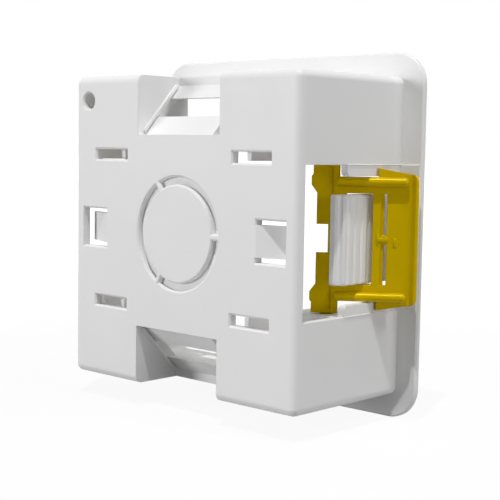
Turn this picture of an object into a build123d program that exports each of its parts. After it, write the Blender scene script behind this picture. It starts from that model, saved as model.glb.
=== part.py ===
from build123d import *
import os
from math import cos, radians, sin

os.makedirs("parts", exist_ok=True)

# A back box for one accessory in a plasterboard wall. Millimetres.
# Origin: middle of the faceplate screw pair, on the front plane of the flange.
# +X to the side, +Y back into the wall, +Z up.

# Flange
flange_width = 84.0
flange_thickness = 1.2
flange_corner_radius = 7.5
flange_edge_chamfer = 0.4
band_height = 0.3
band_edge_margin = 0.4

# Body
body_width = 73.0
body_depth = 37.0
wall = 2.0
front_wall = 1.4
body_edge_radius = 1.8
inner_corner_radius = 1.2

# Cable notches at the top and the bottom
notch_width = 26.8
notch_back_height = 22.6
notch_front = 23.7
window_low = 26.9
window_high = 31.3
tongue_slot = 4.1

# Side openings for the clamp lugs
opening_height = 33.2
opening_step = 21.0
arm_gap_height = 28.2
opening_corner_radius = 1.0

# Fluted panel between the two arms of a lug
panel_recess = 1.5
panel_thickness = 3.0
panel_height = 20.0
panel_bevel = 1.8
panel_corner_radius = 0.6
flute_pitch = 2.4
flute_count = 7
flute_radius = 0.8
flute_depth = 0.3

# Faceplate screw bosses and their inserts
screw_spacing = 60.3
boss_radius = 3.6
boss_depth = 9.5
insert_radius = 2.4
insert_length = 7.0
insert_recess = 0.3
thread_radius = 1.5
screw_clearance_radius = 1.9
bridge_thickness = 2.0

# Back wall
slot_length = 11.2
slot_height = 2.45
slot_x = 22.9
slot_z = 17.8
strap_hole_start = 24.65
strap_hole_length = 8.65
strap_hole_height = 9.2
strap_width = 7.0
strap_drop = 3.5
strap_thickness = 1.3
corner_hole_x = 31.5
corner_hole_z = 30.6
corner_hole_radius = 2.0
knockout_radius = 11.35
knockout_gap = 1.75
knockout_depth = 1.2
knockout_bridge = 1.5
hole_chamfer = 0.4

# Bearing shelves of the lug pivots, and the webs that carry them
pivot_inset = 8.0
pivot_y = 15.5
shelf_gap = 0.5
shelf_thickness = 2.0
shelf_reach = 5.0
web_offset = 7.0
web_thickness = 1.2
web_height = 4.1
web_front = 9.0
pin_clearance = 0.08

# Clamp lug, seen in its own frame: u along the arms, w across the plate
lug_angle = 35.4
plate_start = 0.6
plate_thickness = 1.4
hinge_edge = 2.5
hinge_end_edge = 3.4
hinge_bump_edge = 3.8
bump_start = 10.2
bump_low = 12.0
bump_high = 13.9
bump_end = 14.4
hinge_notch_height = 6.4
hinge_notch_edge = 0.1
hinge_plate_edge = 2.6
window_edge = 4.2
rib_width = 1.0
rib_depth = 1.6
pawl_clearance = 0.2
pawl_width = 2.5
slit_width = 0.65
slit_tie = 1.9
groove_width = 0.7
groove_depth = 0.5
foot_offset = 1.1
foot_clearance = 0.15
foot_length = 6.95
foot_gap = 0.7
foot_taper = 1.3
rim_width = 1.6
rim_slope = 0.8
rim_height = 3.4
rim_drop = 1.1
rim_corner_radius = 1.5
rim_edge_radius = 0.5
rod_radius = 1.05
rod_start = 1.95
rod_end_gap = 0.8
rod_end_chamfer = 0.45
rod_rise = 0.73
arm_side_gap = 0.2
arm_outer_gap = 0.2
hinge_end_gap = 0.3
barrel_radius = 1.9
pin_radius = 1.5
pin_length = 2.2
pocket_depth = 0.4
pocket_width = 1.05
pocket_start = 10.3
pocket_length = 5.7

# Places that follow from the sizes above
body_half = body_width / 2
inner_half = body_half - wall
back_inside = body_depth - wall
opening_half = opening_height / 2
arm_gap_half = arm_gap_height / 2
panel_outer = body_half - panel_recess
panel_inner = panel_outer - panel_thickness
panel_half = panel_height / 2
boss_x = screw_spacing / 2
pivot_x = panel_outer - pivot_inset
web_x = pivot_x - web_offset
shelf_bottom = opening_half + shelf_gap
step_radius = min(opening_corner_radius, (opening_half - arm_gap_half) * 0.45)
shelf_end = body_half - front_wall / 2

# The slanted wall of a notch, from the back wall up to the top wall
notch_outline = [
    (body_depth + wall, notch_back_height),
    (back_inside, notch_back_height),
    (notch_front, inner_half),
    (notch_front, body_half + wall),
    (body_depth + wall, body_half + wall),
]

with BuildPart() as cavity:
    with BuildSketch(Plane.back):
        RectangleRounded(body_width - 2 * front_wall, body_width - 2 * front_wall, inner_corner_radius)
    with BuildSketch(Plane.back.offset(back_inside)):
        RectangleRounded(2 * inner_half, 2 * inner_half, inner_corner_radius)
    loft()
    # The room that both notches and their walls take from the inside
    with BuildSketch(Plane.YZ):
        with BuildLine():
            Polyline(*notch_outline, close=True)
        make_face()
        offset(amount=wall, kind=Kind.INTERSECTION)
        mirror(about=Plane.XZ)
    extrude(amount=notch_width / 2 + wall, both=True, mode=Mode.SUBTRACT)

with BuildPart() as box_shell:
    # Flange with its round corners and softened rear edge
    with BuildSketch(Plane.back):
        RectangleRounded(flange_width, flange_width, flange_corner_radius)
    extrude(amount=flange_thickness)
    chamfer(edges().group_by(Axis.Y)[-1], flange_edge_chamfer)

    # Square body, hollow from the front
    with BuildSketch(Plane.back):
        Rectangle(body_width, body_width)
    extrude(amount=body_depth)
    corner_edges = edges().filter_by(Axis.Y).filter_by(lambda e: e.length > body_depth / 2)
    back_edges = faces().sort_by(Axis.Y)[-1].edges()
    fillet(corner_edges + back_edges, body_edge_radius)
    add(cavity.part, mode=Mode.SUBTRACT)

    # Cable notches
    with BuildSketch(Plane.YZ):
        with BuildLine():
            Polyline(*notch_outline, close=True)
        make_face()
        mirror(about=Plane.XZ)
    extrude(amount=notch_width / 2, both=True, mode=Mode.SUBTRACT)

    # Cable window and tongue slot, cut straight back through each slanted wall
    with BuildSketch(Plane.back.offset(flange_thickness)):
        with Locations((0, (window_low + window_high) / 2)):
            Rectangle(notch_width, window_high - window_low)
        with Locations(((notch_width - tongue_slot) / 2, (notch_back_height + window_low) / 2)):
            Rectangle(tongue_slot, window_low - notch_back_height)
        mirror(about=Plane.XZ)
    extrude(amount=body_depth, mode=Mode.SUBTRACT)

    # Side openings, lower where they pass the arms and taller behind
    with BuildSketch(Plane.YZ):
        with Locations(((flange_thickness + back_inside) / 2, 0)):
            Rectangle(back_inside - flange_thickness, arm_gap_height)
        with Locations(((opening_step + back_inside) / 2, 0)):
            Rectangle(back_inside - opening_step, opening_height)
        step_corners = vertices().filter_by(
            lambda v: abs(v.X - opening_step) < 0.01 and abs(v.Y) < arm_gap_half + 0.01
        )
        fillet(step_corners, step_radius)
    extrude(amount=body_width, both=True, mode=Mode.SUBTRACT)

    # Raised band on the rear face of the flange, beside each opening
    band_end = flange_width / 2 - band_edge_margin
    with BuildSketch(Plane.back.offset(flange_thickness)):
        with Locations((-(body_half + band_end) / 2, 0), ((body_half + band_end) / 2, 0)):
            Rectangle(band_end - body_half, opening_height)
    extrude(amount=band_height)

    # Slots, strap holes and corner hole through the back wall
    with BuildSketch(Plane.back.offset(back_inside)):
        with GridLocations(2 * slot_x, 2 * slot_z, 2, 2):
            Rectangle(slot_length, slot_height)
        with GridLocations(2 * strap_hole_start + strap_hole_length, 0, 2, 1):
            Rectangle(strap_hole_length, strap_hole_height)
        with Locations((-corner_hole_x, corner_hole_z)):
            Circle(corner_hole_radius)
    extrude(amount=wall, mode=Mode.SUBTRACT)

    # Knockout groove, with three bridges left at full thickness
    with BuildSketch(Plane.back.offset(body_depth)):
        Circle(knockout_radius + knockout_gap)
        Circle(knockout_radius, mode=Mode.SUBTRACT)
        with PolarLocations(knockout_radius + knockout_gap / 2, 3):
            Rectangle(2 * knockout_gap, knockout_bridge, mode=Mode.SUBTRACT)
    extrude(amount=-knockout_depth, mode=Mode.SUBTRACT)

    # Broken outer edges of all these holes
    rear_edges = edges().filter_by(lambda e: abs(e.center().Y - body_depth) < 0.01)
    hole_edges = rear_edges.filter_by(
        lambda e: abs(e.center().X) < inner_half - wall and abs(e.center().Z) < notch_back_height - wall
    )
    corner_edge = rear_edges.sort_by_distance((corner_hole_x, body_depth, corner_hole_z))[0]
    chamfer(hole_edges + [corner_edge], hole_chamfer)

    # Sloping strap in each strap hole
    strap_tip = strap_hole_start + strap_hole_length
    with BuildSketch(Plane.XY):
        with BuildLine():
            Polyline(
                (strap_hole_start - hole_chamfer, body_depth),
                (strap_hole_start, body_depth),
                (strap_tip, body_depth - strap_drop),
                (strap_tip, body_depth - strap_drop - strap_thickness),
                (strap_hole_start, back_inside),
                (strap_hole_start - hole_chamfer, back_inside),
                close=True,
            )
        make_face()
        mirror(about=Plane.YZ)
    extrude(amount=strap_width / 2, both=True)

    # Webs behind the back slots, and the bearing shelves between them and the side walls
    with BuildSketch(Plane.back.offset(web_front)):
        with GridLocations(2 * web_x + web_thickness, 2 * shelf_bottom + web_height, 2, 2):
            Rectangle(web_thickness, web_height)
    extrude(amount=back_inside - web_front)
    for side in (1, -1):
        with BuildSketch(Plane.XY.offset(side * (shelf_bottom + shelf_thickness / 2))):
            for hand in (1, -1):
                with Locations((hand * (web_x + shelf_end) / 2, pivot_y)):
                    Rectangle(shelf_end - web_x, 2 * shelf_reach)
                with Locations((hand * pivot_x, pivot_y)):
                    Circle(pin_radius + pin_clearance, mode=Mode.SUBTRACT)
        extrude(amount=shelf_thickness / 2, both=True)

with BuildPart() as side_panel:
    # Panel with a bevelled rear corner and rounded outline
    with BuildSketch(Plane.XY):
        with BuildLine():
            Polyline(
                (panel_inner, 0),
                (panel_outer, 0),
                (panel_outer, opening_step - panel_bevel),
                (panel_outer - panel_bevel, opening_step),
                (panel_inner, opening_step),
                close=True,
            )
        make_face()
    extrude(amount=panel_half, both=True)
    end_edges = edges().filter_by(lambda e: abs(abs(e.center().Z) - panel_half) < 0.01)
    fillet(end_edges.filter_by(lambda e: e.center().X > panel_inner + 0.01), panel_corner_radius)

    # Upright flutes on its outer face
    with BuildSketch(Plane.XY):
        first_flute = opening_step - panel_bevel - 0.3 * flute_pitch
        for index in range(flute_count):
            with Locations((panel_outer + flute_radius - flute_depth, first_flute - index * flute_pitch)):
                Circle(flute_radius)
        with Locations((panel_outer - panel_bevel / 2 + 0.35, opening_step - panel_bevel / 2 + 0.35)):
            Circle(flute_radius * 0.9)
    extrude(amount=panel_half, both=True, mode=Mode.SUBTRACT)

with BuildPart() as screw_post:
    # Bridge to the wall and the flange, and the boss behind it
    with BuildSketch(Plane.back):
        with Locations((-(panel_inner + body_half) / 2, 0)):
            Rectangle(body_half - panel_inner, panel_height)
        with Locations((-(boss_x + body_half) / 2, 0)):
            Rectangle(body_half - boss_x, 2 * boss_radius)
    extrude(amount=bridge_thickness)
    with BuildSketch(Plane.back):
        with Locations((-boss_x, 0)):
            Circle(boss_radius)
    extrude(amount=boss_depth)

with BuildPart() as box_whole:
    add(box_shell.part)
    add(side_panel.part)
    add(screw_post.part)
    mirror(side_panel.part, about=Plane.YZ)
    mirror(screw_post.part, about=Plane.YZ)
    # Insert bores, with clearance for the screws behind them
    with BuildSketch(Plane.back):
        with Locations((-boss_x, 0), (boss_x, 0)):
            Circle(insert_radius)
    extrude(amount=insert_recess + insert_length, mode=Mode.SUBTRACT)
    with BuildSketch(Plane.back):
        with Locations((-boss_x, 0), (boss_x, 0)):
            Circle(screw_clearance_radius)
    extrude(amount=boss_depth, mode=Mode.SUBTRACT)
box_whole.part.label = "box_shell"
export_step(box_whole.part, "parts/box_shell.step")

# Brass insert of the screw boss at +X
with BuildPart() as screw_insert_right:
    with BuildSketch(Plane.back.offset(insert_recess)):
        with Locations((-boss_x, 0)):
            Circle(insert_radius)
            Circle(thread_radius, mode=Mode.SUBTRACT)
    extrude(amount=insert_length)
screw_insert_right.part.label = "screw_insert_right"
export_step(screw_insert_right.part, "parts/screw_insert_right.step")

with BuildPart() as screw_insert_left:
    mirror(screw_insert_right.part, about=Plane.YZ)
screw_insert_left.part.label = "screw_insert_left"
export_step(screw_insert_left.part, "parts/screw_insert_left.step")

# Frame of the +X lug: u points out and forward along the arms, w points back and out
arm_x = cos(radians(lug_angle))
arm_y = -sin(radians(lug_angle))
lug_face = Plane(origin=(pivot_x, pivot_y, 0), x_dir=(arm_x, arm_y, 0), z_dir=(-arm_y, arm_x, 0))
lug_end = Plane(origin=(pivot_x, pivot_y, 0), x_dir=(-arm_y, arm_x, 0), z_dir=(arm_x, arm_y, 0))
lug_side = Plane(origin=(pivot_x, pivot_y, 0), x_dir=(arm_x, arm_y, 0), z_dir=(0, 0, 1))

pawl_edge = (panel_outer - pivot_x) / arm_x + pawl_clearance
slit_edge = pawl_edge + pawl_width
foot_start = pawl_edge + foot_offset
lug_length = slit_edge + slit_width + foot_length
rim_start = lug_length - rim_width
rod_end = rim_start - rod_end_gap
arm_inner = panel_half + arm_side_gap
arm_outer = arm_gap_half - arm_outer_gap
hinge_half = shelf_bottom - hinge_end_gap
foot_half = opening_half - foot_gap
rim_half = foot_half - foot_taper
rod_z = arm_outer - rod_radius
plate_top = plate_start + plate_thickness
rim_low = plate_start - rim_drop
rim_top = rim_low + rim_height
rim_crest = rim_start + rim_slope
foot_seat = body_half + foot_clearance

with BuildPart() as foot_rim:
    # Rim at the end of the foot, sloping up from the plate, with rounded corners
    with BuildSketch(lug_side):
        with BuildLine():
            Polyline(
                (rim_start, rim_low),
                (rim_start, plate_top),
                (rim_crest, rim_top),
                (lug_length, rim_top),
                (lug_length, rim_low),
                close=True,
            )
        make_face()
    extrude(amount=rim_half, both=True)
    end_edges = edges().filter_by(lambda e: lug_side.to_local_coords(e.center()).X > lug_length - 0.01)
    fillet(end_edges.filter_by(lambda e: abs(e.center().Z) > rim_half - 0.01), rim_corner_radius)
    top_edges = edges().filter_by(lambda e: lug_side.to_local_coords(e.center()).Y > rim_top - 0.01)
    outer_edges = top_edges.filter_by(lambda e: lug_side.to_local_coords(e.center()).X > rim_crest + 0.01)
    fillet(outer_edges, rim_edge_radius)

with BuildPart() as arm_rod:
    # Stiffening rod of the upper arm, chamfered at the outer end
    with BuildSketch(lug_end.offset(rod_start)):
        with Locations((plate_top + rod_rise, rod_z)):
            Circle(rod_radius)
    extrude(amount=rod_end - rod_start)
    chamfer(edges().filter_by(GeomType.CIRCLE).sort_by(Axis.X)[-1], rod_end_chamfer)

with BuildPart() as clamp_lug_right:
    # Flat frame: hinge strip, two arms, pawl bar and foot
    with BuildSketch(lug_face.offset(plate_start)):
        with BuildLine():
            Polyline(
                (hinge_notch_edge, 0),
                (hinge_notch_edge, hinge_notch_height / 2),
                (-hinge_edge, hinge_notch_height / 2),
                (-hinge_edge, bump_start),
                (-hinge_bump_edge, bump_low),
                (-hinge_bump_edge, bump_high),
                (-hinge_end_edge, bump_end),
                (-hinge_end_edge, hinge_half),
                (hinge_plate_edge, hinge_half),
                (hinge_plate_edge, arm_outer),
                (foot_start, arm_outer),
                (foot_start, foot_half),
                (rim_start, rim_half),
                (rim_start, 0),
                close=True,
            )
        make_face()
        mirror(about=Plane.XZ)
        with Locations(((window_edge + pawl_edge) / 2, 0)):
            Rectangle(pawl_edge - window_edge, 2 * arm_inner, mode=Mode.SUBTRACT)
        with Locations((slit_edge + slit_width / 2, 0)):
            Rectangle(slit_width, 2 * arm_inner, mode=Mode.SUBTRACT)
            Rectangle(slit_width, slit_tie)
    extrude(amount=plate_thickness)

    # Ribs along the inner edges of both arms, on the side away from the rods
    with BuildSketch(lug_face.offset(plate_start)):
        with GridLocations(0, 2 * arm_inner + rib_width, 1, 2):
            with Locations(((window_edge + pawl_edge) / 2, 0)):
                Rectangle(pawl_edge - window_edge, rib_width)
    extrude(amount=-rib_depth)

    # Groove beside the slit, and the shallow pockets in the hinge strip
    with BuildSketch(lug_face.offset(plate_top)):
        with Locations((slit_edge - groove_width / 2, 0)):
            Rectangle(groove_width, 2 * arm_inner)
            Rectangle(groove_width, slit_tie, mode=Mode.SUBTRACT)
    extrude(amount=-groove_depth, mode=Mode.SUBTRACT)
    with BuildSketch(lug_face.offset(plate_top)):
        with GridLocations(0, 2 * pocket_start + pocket_length, 1, 2):
            with Locations((pocket_width / 2, 0)):
                Rectangle(pocket_width, pocket_length)
    extrude(amount=-pocket_depth, mode=Mode.SUBTRACT)

    add(foot_rim.part)

    # Foot cut back to lie against the side wall
    with BuildSketch(Plane.XZ):
        with GridLocations(0, 2 * arm_outer + foot_half, 1, 2):
            with Locations(((panel_inner + foot_seat) / 2, 0)):
                Rectangle(foot_seat - panel_inner, foot_half)
    extrude(amount=body_depth, both=True, mode=Mode.SUBTRACT)
    add(arm_rod.part)
    mirror(arm_rod.part, about=Plane.XY)

    # Hinge barrels and pivot pins at both ends of the hinge strip
    for side in (1, -1):
        with BuildSketch(Plane.XY.offset(side * arm_inner)):
            with Locations((pivot_x, pivot_y)):
                Circle(barrel_radius)
        extrude(amount=side * (hinge_half - arm_inner))
        with BuildSketch(Plane.XY.offset(side * hinge_half)):
            with Locations((pivot_x, pivot_y)):
                Circle(pin_radius)
        extrude(amount=side * pin_length)
clamp_lug_right.part.label = "clamp_lug_right"
export_step(clamp_lug_right.part, "parts/clamp_lug_right.step")

with BuildPart() as clamp_lug_left:
    mirror(clamp_lug_right.part, about=Plane.YZ)
clamp_lug_left.part.label = "clamp_lug_left"
export_step(clamp_lug_left.part, "parts/clamp_lug_left.step")
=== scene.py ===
import bpy, bmesh, math
from mathutils import Matrix, Vector


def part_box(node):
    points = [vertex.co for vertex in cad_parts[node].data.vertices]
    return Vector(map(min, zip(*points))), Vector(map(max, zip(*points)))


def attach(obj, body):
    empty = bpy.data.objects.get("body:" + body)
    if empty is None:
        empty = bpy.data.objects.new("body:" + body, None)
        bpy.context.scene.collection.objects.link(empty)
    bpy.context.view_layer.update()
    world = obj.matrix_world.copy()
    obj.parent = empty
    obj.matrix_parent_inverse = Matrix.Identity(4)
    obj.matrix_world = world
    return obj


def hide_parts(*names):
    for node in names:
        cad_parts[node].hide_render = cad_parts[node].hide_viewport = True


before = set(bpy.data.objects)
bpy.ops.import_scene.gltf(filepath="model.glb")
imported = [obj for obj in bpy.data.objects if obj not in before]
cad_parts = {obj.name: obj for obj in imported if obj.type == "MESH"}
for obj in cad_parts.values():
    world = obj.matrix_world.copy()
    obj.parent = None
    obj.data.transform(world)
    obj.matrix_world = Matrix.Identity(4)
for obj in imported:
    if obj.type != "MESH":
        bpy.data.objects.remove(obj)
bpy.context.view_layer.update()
scene = bpy.context.scene
scene.view_settings.view_transform = "Standard"


# The shell is injection-moulded polypropylene, white all through.
# A spark-eroded mould leaves a very fine matt grain, and the flow of the melt a faint unevenness.
def linear(hex_colour):
    parts = [int(hex_colour[i:i + 2], 16) / 255 for i in (1, 3, 5)]
    return [c / 12.92 if c <= 0.04045 else ((c + 0.055) / 1.055) ** 2.4 for c in parts] + [1.0]


def node(tree, kind, settings=None, inputs=None):
    made = tree.nodes.new(kind)
    for key, value in (settings or {}).items():
        setattr(made, key, value)
    for key, value in (inputs or {}).items():
        if isinstance(value, bpy.types.NodeSocket):
            tree.links.new(value, made.inputs[key])
        else:
            made.inputs[key].default_value = value
    return made


white_plastic = bpy.data.materials.new("moulded_white_polypropylene")
white_plastic.use_nodes = True
tree = white_plastic.node_tree
tree.nodes.clear()
place = node(tree, "ShaderNodeTexCoord")
flow = node(tree, "ShaderNodeTexNoise", None,
            {"Vector": place.outputs["Object"], "Scale": 1 / 0.022, "Detail": 2.0, "Roughness": 0.5})
tint = node(tree, "ShaderNodeMix", {"data_type": "RGBA"}, {0: flow.outputs["Fac"]})
tint.inputs[6].default_value = linear("#E9E9E9")
tint.inputs[7].default_value = linear("#EFEFEF")
# Grain of about 0.2 mm, and a waviness of about 6 mm from the mould's cooling
grain = node(tree, "ShaderNodeTexNoise", None,
             {"Vector": place.outputs["Object"], "Scale": 1 / 0.0002, "Detail": 1.0, "Roughness": 0.5})
sink = node(tree, "ShaderNodeTexNoise", None,
            {"Vector": place.outputs["Object"], "Scale": 1 / 0.006, "Detail": 1.0, "Roughness": 0.4})
# The mould's edges are broken by about 0.2 mm
soft_edge = node(tree, "ShaderNodeBevel", {"samples": 6}, {"Radius": 0.0002})
grain_bump = node(tree, "ShaderNodeBump", None,
                  {"Height": grain.outputs["Fac"], "Strength": 0.06, "Distance": 0.00005,
                   "Normal": soft_edge.outputs["Normal"]})
sink_bump = node(tree, "ShaderNodeBump", None,
                 {"Height": sink.outputs["Fac"], "Strength": 0.08, "Distance": 0.0002,
                  "Normal": grain_bump.outputs["Normal"]})
gloss = node(tree, "ShaderNodeMapRange", None,
             {"Value": sink.outputs["Fac"], "From Min": 0.3, "From Max": 0.7,
              "To Min": 0.42, "To Max": 0.5})
shell_shader = node(tree, "ShaderNodeBsdfPrincipled", None,
                    {"Base Color": tint.outputs[2], "Roughness": gloss.outputs["Result"],
                     "IOR": 1.49, "Specular IOR Level": 0.25,
                     "Normal": sink_bump.outputs["Normal"]})
node(tree, "ShaderNodeOutputMaterial", None, {"Surface": shell_shader.outputs["BSDF"]})
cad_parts["box_shell"].data.materials.clear()
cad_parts["box_shell"].data.materials.append(white_plastic)


# Fine raised lines run from each side opening over the wall and the flange, in the same moulding.
# They are the witness of the mould's sliding side cores, which part from the main mould there.
def piece(name, form, material, body):
    bmesh.ops.recalc_face_normals(form, faces=form.faces)
    data = bpy.data.meshes.new(name)
    form.to_mesh(data)
    form.free()
    data.materials.append(material)
    data.shade_smooth()
    data.set_sharp_from_angle(angle=math.radians(35))
    made = bpy.data.objects.new(name, data)
    scene.collection.objects.link(made)
    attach(made, body)
    return made


def raised_bar(form, low, high, edge, turn=Matrix.Identity(4)):
    bar = bmesh.ops.create_cube(form, size=1.0)["verts"]
    size = [b - a for a, b in zip(low, high)]
    middle = [(a + b) / 2 for a, b in zip(low, high)]
    bmesh.ops.scale(form, vec=size, verts=bar)
    bmesh.ops.translate(form, vec=middle, verts=bar)
    bmesh.ops.transform(form, matrix=turn, verts=bar)
    edges = list({e for v in bar for e in v.link_edges})
    bmesh.ops.bevel(form, geom=edges, offset=edge, affect="EDGES", segments=2, profile=0.5, material=-1)


opening_edge = 0.0166
line_width = 0.00028
line_edge = 0.00006
wall_root, wall_crest, rim_end = 0.0364, 0.03662, 0.0416
flange_root, flange_crest, opening_front = 0.0011, 0.00132, 0.021
for side, name in ((-1, "slide_witness_left"), (1, "slide_witness_right")):
    lines = bmesh.new()
    for level in (-opening_edge, opening_edge):
        below, above = level - line_width / 2, level + line_width / 2
        near, far = sorted((side * wall_root, side * wall_crest))
        raised_bar(lines, (near, flange_root, below), (far, opening_front, above), line_edge)
        near, far = sorted((side * wall_root, side * rim_end))
        raised_bar(lines, (near, flange_root, below), (far, flange_crest, above), line_edge)
    piece(name, lines, white_plastic, "box")

# Each cheek of the cable notches ends in a rounded lip, moulded in one with it.
# The lip runs down beside the slanted wall with a narrow gap, which shows as a dark line.
cheek = 0.0134
slope_foot = (0.035, 0.0226)
slope_top = (0.0237, 0.0345)
run, rise = slope_top[0] - slope_foot[0], slope_top[1] - slope_foot[1]
slope = math.hypot(run, rise)
lip_start, lip_end = 0.0004, slope - 0.0006
lip_gap, lip_top = 0.0003, 0.00115
lip_root, lip_reach, lip_edge = 0.0002, 0.0006, 0.00018
for half, name in ((1, "notch_lips_top"), (-1, "notch_lips_bottom")):
    down = Vector((0, run / slope, half * rise / slope))
    off = Vector((0, rise / slope, -half * run / slope))
    beside_wall = (Matrix.Translation((0, slope_foot[0], half * slope_foot[1]))
                   @ Matrix((down, off, Vector((1, 0, 0)))).transposed().to_4x4())
    lips = bmesh.new()
    for side in (-1, 1):
        near, far = sorted((side * (cheek + lip_root), side * (cheek - lip_reach)))
        raised_bar(lips, (lip_start, lip_gap, near), (lip_end, lip_top, far), lip_edge, beside_wall)
    piece(name, lips, white_plastic, "box")

# Ejector pins push the box off its mould and leave round marks inside, on the back wall.
# The melt enters at the middle of the knockout, where the gate breaks off and leaves a stub.
inner_back = 0.035
onto_wall = Matrix.Rotation(math.radians(90), 4, "X")
pin_corner, pin_side = 0.026, 0.0185
pin_radius, pin_top, pin_height = 0.0015, 0.00146, 0.00016
pin_rim, pin_dish = 0.00022, 0.00004
stub_radius, stub_top, stub_height = 0.0009, 0.00055, 0.0007
stub_rim, stub_dish, stub_lift = 0.00015, 0.0001, 0.0002


def round_mark(form, spot, radius, top_radius, height, rim, dish, sides):
    made = bmesh.ops.create_cone(form, cap_ends=True, segments=sides,
                                 radius1=radius, radius2=top_radius, depth=height)
    around = {f for v in made["verts"] for f in v.link_faces}
    top = max(around, key=lambda f: f.calc_center_median().z)
    bmesh.ops.inset_region(form, faces=[top], thickness=rim, depth=-dish)
    # The new mark is what still lies round the origin
    fresh = list({v for f in form.faces for v in f.verts if v.co.y < inner_back / 2})
    bmesh.ops.transform(form, matrix=Matrix.Translation(spot) @ onto_wall, verts=fresh)


marks = bmesh.new()
for across, height in ((-pin_corner, pin_corner), (pin_corner, pin_corner),
                       (-pin_corner, -pin_corner), (pin_corner, -pin_corner),
                       (-pin_side, 0), (pin_side, 0)):
    round_mark(marks, (across, inner_back, height), pin_radius, pin_top, pin_height,
               pin_rim, pin_dish, 40)
round_mark(marks, (0, inner_back - stub_lift, 0), stub_radius, stub_top, stub_height,
           stub_rim, stub_dish, 32)
piece("ejector_marks", marks, white_plastic, "box")

# The clamp lugs are injection-moulded nylon, coloured yellow in the melt.
# It takes a smoother polish from the mould than the shell, with soft bright edges.
yellow_plastic = bpy.data.materials.new("moulded_yellow_nylon")
yellow_plastic.use_nodes = True
tree = yellow_plastic.node_tree
tree.nodes.clear()
place = node(tree, "ShaderNodeTexCoord")
melt = node(tree, "ShaderNodeTexNoise", None,
            {"Vector": place.outputs["Object"], "Scale": 1 / 0.008, "Detail": 2.0, "Roughness": 0.5})
tint = node(tree, "ShaderNodeMix", {"data_type": "RGBA"}, {0: melt.outputs["Fac"]})
tint.inputs[6].default_value = linear("#C6A700")
tint.inputs[7].default_value = linear("#D0B000")
grain = node(tree, "ShaderNodeTexNoise", None,
             {"Vector": place.outputs["Object"], "Scale": 1 / 0.0002, "Detail": 1.0, "Roughness": 0.5})
soft_edge = node(tree, "ShaderNodeBevel", {"samples": 6}, {"Radius": 0.0003})
grain_bump = node(tree, "ShaderNodeBump", None,
                  {"Height": grain.outputs["Fac"], "Strength": 0.05, "Distance": 0.00004,
                   "Normal": soft_edge.outputs["Normal"]})
lug_shader = node(tree, "ShaderNodeBsdfPrincipled", None,
                  {"Base Color": tint.outputs[2], "Roughness": 0.26,
                   "IOR": 1.53, "Specular IOR Level": 0.5, "Specular Tint": linear("#FFE12E"),
                   "Normal": grain_bump.outputs["Normal"]})
node(tree, "ShaderNodeOutputMaterial", None, {"Surface": lug_shader.outputs["BSDF"]})
for name in ("clamp_lug_left", "clamp_lug_right"):
    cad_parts[name].data.materials.clear()
    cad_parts[name].data.materials.append(yellow_plastic)

# Each lug carries a small T-shaped rib over the tie of its slit, and a short plain bar on its foot.
# They are part of the same yellow moulding, raised by about 0.2 mm, and the mould's polish
# rounds them.
lean = math.radians(35.4)
pivot_x, pivot_y = 0.027, 0.0155
face_root, rib_crest, bar_crest = 0.0018, 0.00222, 0.00218
rib_edge = 0.00012
stem_start, stem_end, stem_half = 0.0111, 0.0136, 0.0005
head_start, head_end, head_half = 0.0109, 0.0114, 0.0012
bar_start, bar_end, bar_bottom, bar_top = 0.01465, 0.01545, -0.0017, 0.0004
for side, name, body in ((-1, "lug_marks_left", "lug_left"), (1, "lug_marks_right", "lug_right")):
    along = Vector((side * math.cos(lean), -math.sin(lean), 0))
    outward = Vector((side * math.sin(lean), math.cos(lean), 0))
    turn = Matrix((along, outward, Vector((0, 0, 1)))).transposed().to_4x4()
    on_lug = Matrix.Translation((side * pivot_x, pivot_y, 0)) @ turn
    ribs = bmesh.new()
    raised_bar(ribs, (stem_start, face_root, -stem_half), (stem_end, rib_crest, stem_half), rib_edge, on_lug)
    raised_bar(ribs, (head_start, face_root, -head_half), (head_end, rib_crest, head_half), rib_edge, on_lug)
    raised_bar(ribs, (bar_start, face_root, bar_bottom), (bar_end, bar_crest, bar_top), rib_edge, on_lug)
    piece(name, ribs, yellow_plastic, body)

# The screw inserts are turned brass, pressed into the bosses.
# The lathe leaves fine rings round the axis, and the metal is bright with a warm tint.
turned_brass = bpy.data.materials.new("turned_brass")
turned_brass.use_nodes = True
tree = turned_brass.node_tree
tree.nodes.clear()
place = node(tree, "ShaderNodeTexCoord")
# Rings 0.15 mm apart round each screw axis, which stands 30.15 mm to either side
apart = node(tree, "ShaderNodeSeparateXYZ", None, {"Vector": place.outputs["Object"]})
either = node(tree, "ShaderNodeMath", {"operation": "ABSOLUTE"}, {0: apart.outputs["X"]})
across = node(tree, "ShaderNodeMath", {"operation": "SUBTRACT"}, {0: either.outputs["Value"], 1: 0.03015})
flat = node(tree, "ShaderNodeCombineXYZ", None, {"X": across.outputs["Value"], "Y": apart.outputs["Z"]})
radius = node(tree, "ShaderNodeVectorMath", {"operation": "LENGTH"}, {0: flat.outputs["Vector"]})
turned = node(tree, "ShaderNodeCombineXYZ", None,
              {"X": radius.outputs["Value"], "Y": apart.outputs["Y"]})
rings = node(tree, "ShaderNodeTexNoise", None,
             {"Vector": turned.outputs["Vector"], "Scale": 1 / 0.00015, "Detail": 2.0, "Roughness": 0.6})
gloss = node(tree, "ShaderNodeMapRange", None,
             {"Value": rings.outputs["Fac"], "From Min": 0.3, "From Max": 0.7,
              "To Min": 0.24, "To Max": 0.36})
brass_bump = node(tree, "ShaderNodeBump", None,
                  {"Height": rings.outputs["Fac"], "Strength": 0.1, "Distance": 0.00005})
brass_shader = node(tree, "ShaderNodeBsdfPrincipled", None,
                    {"Base Color": linear("#D9B56A"), "Metallic": 1.0,
                     "Roughness": gloss.outputs["Result"],
                     "Normal": brass_bump.outputs["Normal"]})
node(tree, "ShaderNodeOutputMaterial", None, {"Surface": brass_shader.outputs["BSDF"]})
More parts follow.
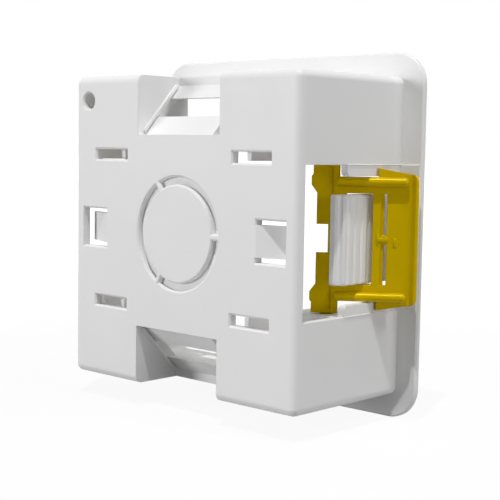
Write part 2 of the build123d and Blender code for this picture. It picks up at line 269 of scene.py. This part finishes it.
insert_radius = 0.0024
thread_crest, thread_root, thread_pitch = 0.0015, 0.00172, 0.0006
chamfer, back_mouth, front_mouth = 0.00022, 0.0002, 0.00025
for node_name, name in (("screw_insert_left", "threaded_insert_left"),
                        ("screw_insert_right", "threaded_insert_right")):
    low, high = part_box(node_name)
    middle = (low[0] + high[0]) / 2
    front, back = low[1], high[1]
    outline = [(insert_radius - chamfer, front), (insert_radius, front + chamfer),
               (insert_radius, back - chamfer), (insert_radius - chamfer, back),
               (thread_root + back_mouth, back), (thread_root, back - thread_pitch / 2)]
    level = back - thread_pitch
    while level > front + thread_pitch:
        outline += [(thread_crest, level), (thread_root, level - thread_pitch / 2)]
        level -= thread_pitch
    outline += [(thread_root + front_mouth, front)]
    insert = bmesh.new()
    points = [insert.verts.new((middle + reach, depth, 0)) for reach, depth in outline]
    rims = [insert.edges.new((points[i - 1], points[i])) for i in range(len(points))]
    bmesh.ops.spin(insert, geom=points + rims, cent=(middle, 0, 0), axis=(0, 1, 0),
                   angle=math.tau, steps=48, use_merge=True)
    bmesh.ops.remove_doubles(insert, verts=insert.verts, dist=0.000001)
    threaded = piece(name, insert, turned_brass, "box")
    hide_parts(node_name)

# The floor is a pale sheet under the box. The camera and reflections see it and the room as white,
# and it keeps a faint shadow of the box.
floor_height = -0.0422
floor_half = 6.0
floor_mesh = bmesh.new()
bmesh.ops.create_grid(floor_mesh, x_segments=1, y_segments=1, size=floor_half)
bmesh.ops.translate(floor_mesh, vec=(0, 0, floor_height), verts=floor_mesh.verts)
floor_data = bpy.data.meshes.new("floor")
floor_mesh.to_mesh(floor_data)
floor_mesh.free()
floor = bpy.data.objects.new("floor", floor_data)
scene.collection.objects.link(floor)
pale_floor = bpy.data.materials.new("pale_floor")
pale_floor.use_nodes = True
tree = pale_floor.node_tree
tree.nodes.clear()
ray = node(tree, "ShaderNodeLightPath")
mirrored = node(tree, "ShaderNodeMath", {"operation": "MAXIMUM"},
                {0: ray.outputs["Is Glossy Ray"], 1: ray.outputs["Is Transmission Ray"]})
seen = node(tree, "ShaderNodeMath", {"operation": "MAXIMUM"},
            {0: ray.outputs["Is Camera Ray"], 1: mirrored.outputs["Value"]})
place = node(tree, "ShaderNodeTexCoord")
distance = node(tree, "ShaderNodeVectorMath", {"operation": "LENGTH"}, {0: place.outputs["Object"]})
# The lit sheet shows by 18 percent near the box, and no longer from 0.4 m away
fade = node(tree, "ShaderNodeMapRange", None,
            {"Value": distance.outputs["Value"], "From Min": 0.12, "From Max": 0.4,
             "To Min": 0.82, "To Max": 1.0})
share = node(tree, "ShaderNodeMath", {"operation": "MULTIPLY"},
             {0: seen.outputs["Value"], 1: fade.outputs["Result"]})
lit = node(tree, "ShaderNodeBsdfDiffuse", None, {"Color": (0.36, 0.36, 0.36, 1.0)})
plain = node(tree, "ShaderNodeEmission", None, {"Color": (1.0, 1.0, 1.0, 1.0), "Strength": 1.13})
floor_mix = node(tree, "ShaderNodeMixShader", None,
                 {0: share.outputs["Value"], 1: lit.outputs["BSDF"], 2: plain.outputs["Emission"]})
node(tree, "ShaderNodeOutputMaterial", None, {"Surface": floor_mix.outputs["Shader"]})
floor_data.materials.append(pale_floor)

# The room is white to the camera and in reflections, and adds almost nothing to the light.
# That leaves the shading of the box to the lamps.
world = bpy.data.worlds.new("studio")
scene.world = world
world.use_nodes = True
tree = world.node_tree
tree.nodes.clear()
ray = node(tree, "ShaderNodeLightPath")
mirrored = node(tree, "ShaderNodeMath", {"operation": "MAXIMUM"},
                {0: ray.outputs["Is Glossy Ray"], 1: ray.outputs["Is Transmission Ray"]})
seen = node(tree, "ShaderNodeMath", {"operation": "MAXIMUM"},
            {0: ray.outputs["Is Camera Ray"], 1: mirrored.outputs["Value"]})
ambient = node(tree, "ShaderNodeBackground", None, {"Color": (1.0, 1.0, 1.0, 1.0), "Strength": 0.02})
backdrop = node(tree, "ShaderNodeBackground", None, {"Color": (1.0, 1.0, 1.0, 1.0), "Strength": 1.0})
room = node(tree, "ShaderNodeMixShader", None,
            {0: seen.outputs["Value"], 1: ambient.outputs["Background"],
             2: backdrop.outputs["Background"]})
node(tree, "ShaderNodeOutputWorld", None, {"Surface": room.outputs["Shader"]})


# Six lamps. A small hard one stands above and behind and grazes the side wall, so the lug
# draws its shadow there. Large soft ones fill from the back, the side, the top and the front,
# and the last of them lights the inside of the box.
def lamp(name, direction, distance, size, power):
    data = bpy.data.lights.new(name, "AREA")
    data.shape = "DISK"
    data.size = size
    data.energy = power
    made = bpy.data.objects.new(name, data)
    scene.collection.objects.link(made)
    made.location = Vector(direction).normalized() * distance
    made.rotation_mode = "QUATERNION"
    made.rotation_quaternion = Vector(direction).to_track_quat("Z", "Y")


lamp("key_lamp", (-0.19, 0.37, 1.0), 1.1, 0.03, 7.0)
lamp("back_fill", (0.7, 1.2, 0.2), 1.1, 0.4, 5.6)
lamp("side_fill", (-1.4, 0.2, 0.2), 1.0, 0.5, 2.0)
lamp("high_side_fill", (-0.72, -0.17, 0.67), 1.0, 0.3, 1.8)
lamp("top_fill", (-0.3, -0.4, 1.0), 1.0, 0.4, 1.0)
lamp("front_fill", (0.1, -1.0, 0.15), 0.9, 0.6, 5.2)

# The camera stands behind the box on the side of the left clamp lug, level with its upper half.
# It looks slightly down, and is rolled by one degree as in the photograph.
camera_place = (-0.19017, 0.21671, 0.01985)
yaw, pitch, roll = math.radians(-47.082), math.radians(-5.07), math.radians(0.968)
ahead = Vector((math.cos(pitch) * math.cos(yaw), math.cos(pitch) * math.sin(yaw), math.sin(pitch)))
level = ahead.cross(Vector((0, 0, 1))).normalized()
above = level.cross(ahead)
right = math.cos(roll) * level + math.sin(roll) * above
up = -math.sin(roll) * level + math.cos(roll) * above
camera_data = bpy.data.cameras.new("camera")
camera_data.sensor_width = 36.0
camera_data.lens = 82.74
camera_data.clip_start = 0.01
camera_data.clip_end = 50.0
camera = bpy.data.objects.new("camera", camera_data)
scene.collection.objects.link(camera)
turn = Matrix((right, up, -ahead)).transposed().to_4x4()
camera.matrix_world = Matrix.Translation(camera_place) @ turn
scene.camera = camera
